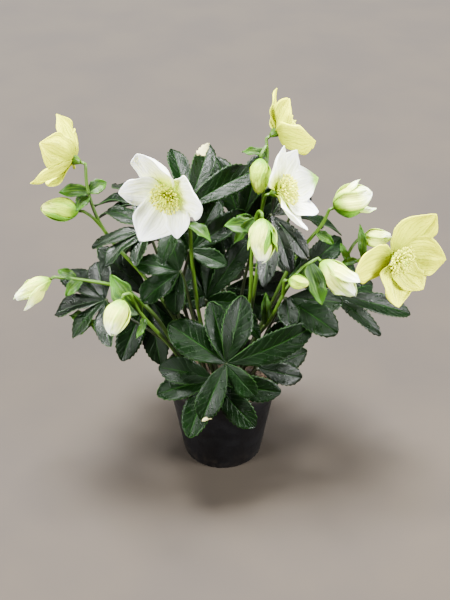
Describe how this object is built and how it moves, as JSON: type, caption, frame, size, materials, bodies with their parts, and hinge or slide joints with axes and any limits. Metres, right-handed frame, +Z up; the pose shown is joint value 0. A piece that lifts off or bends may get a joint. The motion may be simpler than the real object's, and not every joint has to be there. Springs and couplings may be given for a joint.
{
  "type": "hellebore plant",
  "caption": "Clump of hellebore in flower: toothed leathery leaves, cream and white cup-shaped blooms and buds on branched stems, growing from a round tapered nursery pot.",
  "frame": {"origin": "middle of the pot's base, on the surface that it stands on", "axes": "+Z up the pot's axis, +X along the plant's widest spread to the right of its front, -Y towards its front leaf"},
  "size_m": [0.4472, 0.2514, 0.4041],
  "materials": {
    "pot": "satin",
    "soil": "rough",
    "leaf": "glossy",
    "stem": "satin",
    "white_sepal": "soft matte",
    "cream_sepal": "soft matte",
    "stamen": "powdery matte"
  },
  "bodies": {
    "root": {"bloom_cream_left": "cream_sepal", "bloom_cream_right": "cream_sepal", "bloom_cream_top": "cream_sepal", "bloom_white_left": "white_sepal", "bloom_white_right": "white_sepal", "bud_back_right": "white_sepal", "bud_behind": "white_sepal", "bud_behind_right": "white_sepal", "bud_far_left": "white_sepal", "bud_front_left": "white_sepal", "bud_left": "white_sepal", "bud_middle": "white_sepal", "bud_right": "white_sepal", "bud_small": "white_sepal", "leaf_back": "leaf", "leaf_back_left": "leaf", "leaf_back_low": "leaf", "leaf_back_right": "leaf", "leaf_front": "leaf", "leaf_front_low": "leaf", "leaf_front_right": "leaf", "leaf_inner_left": "leaf", "leaf_inner_mid": "leaf", "leaf_inner_right": "leaf", "leaf_inner_top": "leaf", "leaf_left": "leaf", "leaf_left_back": "leaf", "leaf_left_high": "leaf", "leaf_mid": "leaf", "leaf_mid_high": "leaf", "leaf_mid_left": "leaf", "leaf_right": "leaf", "leaf_right_far": "leaf", "leaf_right_high": "leaf", "leaf_right_inner": "leaf", "leaf_right_low": "leaf", "leaf_top": "leaf", "pot": "pot", "soil": "soil", "stamens_cream_left": "stamen", "stamens_cream_right": "stamen", "stamens_cream_top": "stamen", "stamens_white_left": "stamen", "stamens_white_right": "stamen", "stem_back_right": "stem", "stem_far_left": "stem", "stem_far_right": "stem", "stem_front_left": "stem", "stem_left": "stem", "stem_middle": "stem", "stem_right": "stem", "stem_right_front": "stem", "stem_white_left": "stem"}
  },
  "joints": []
}
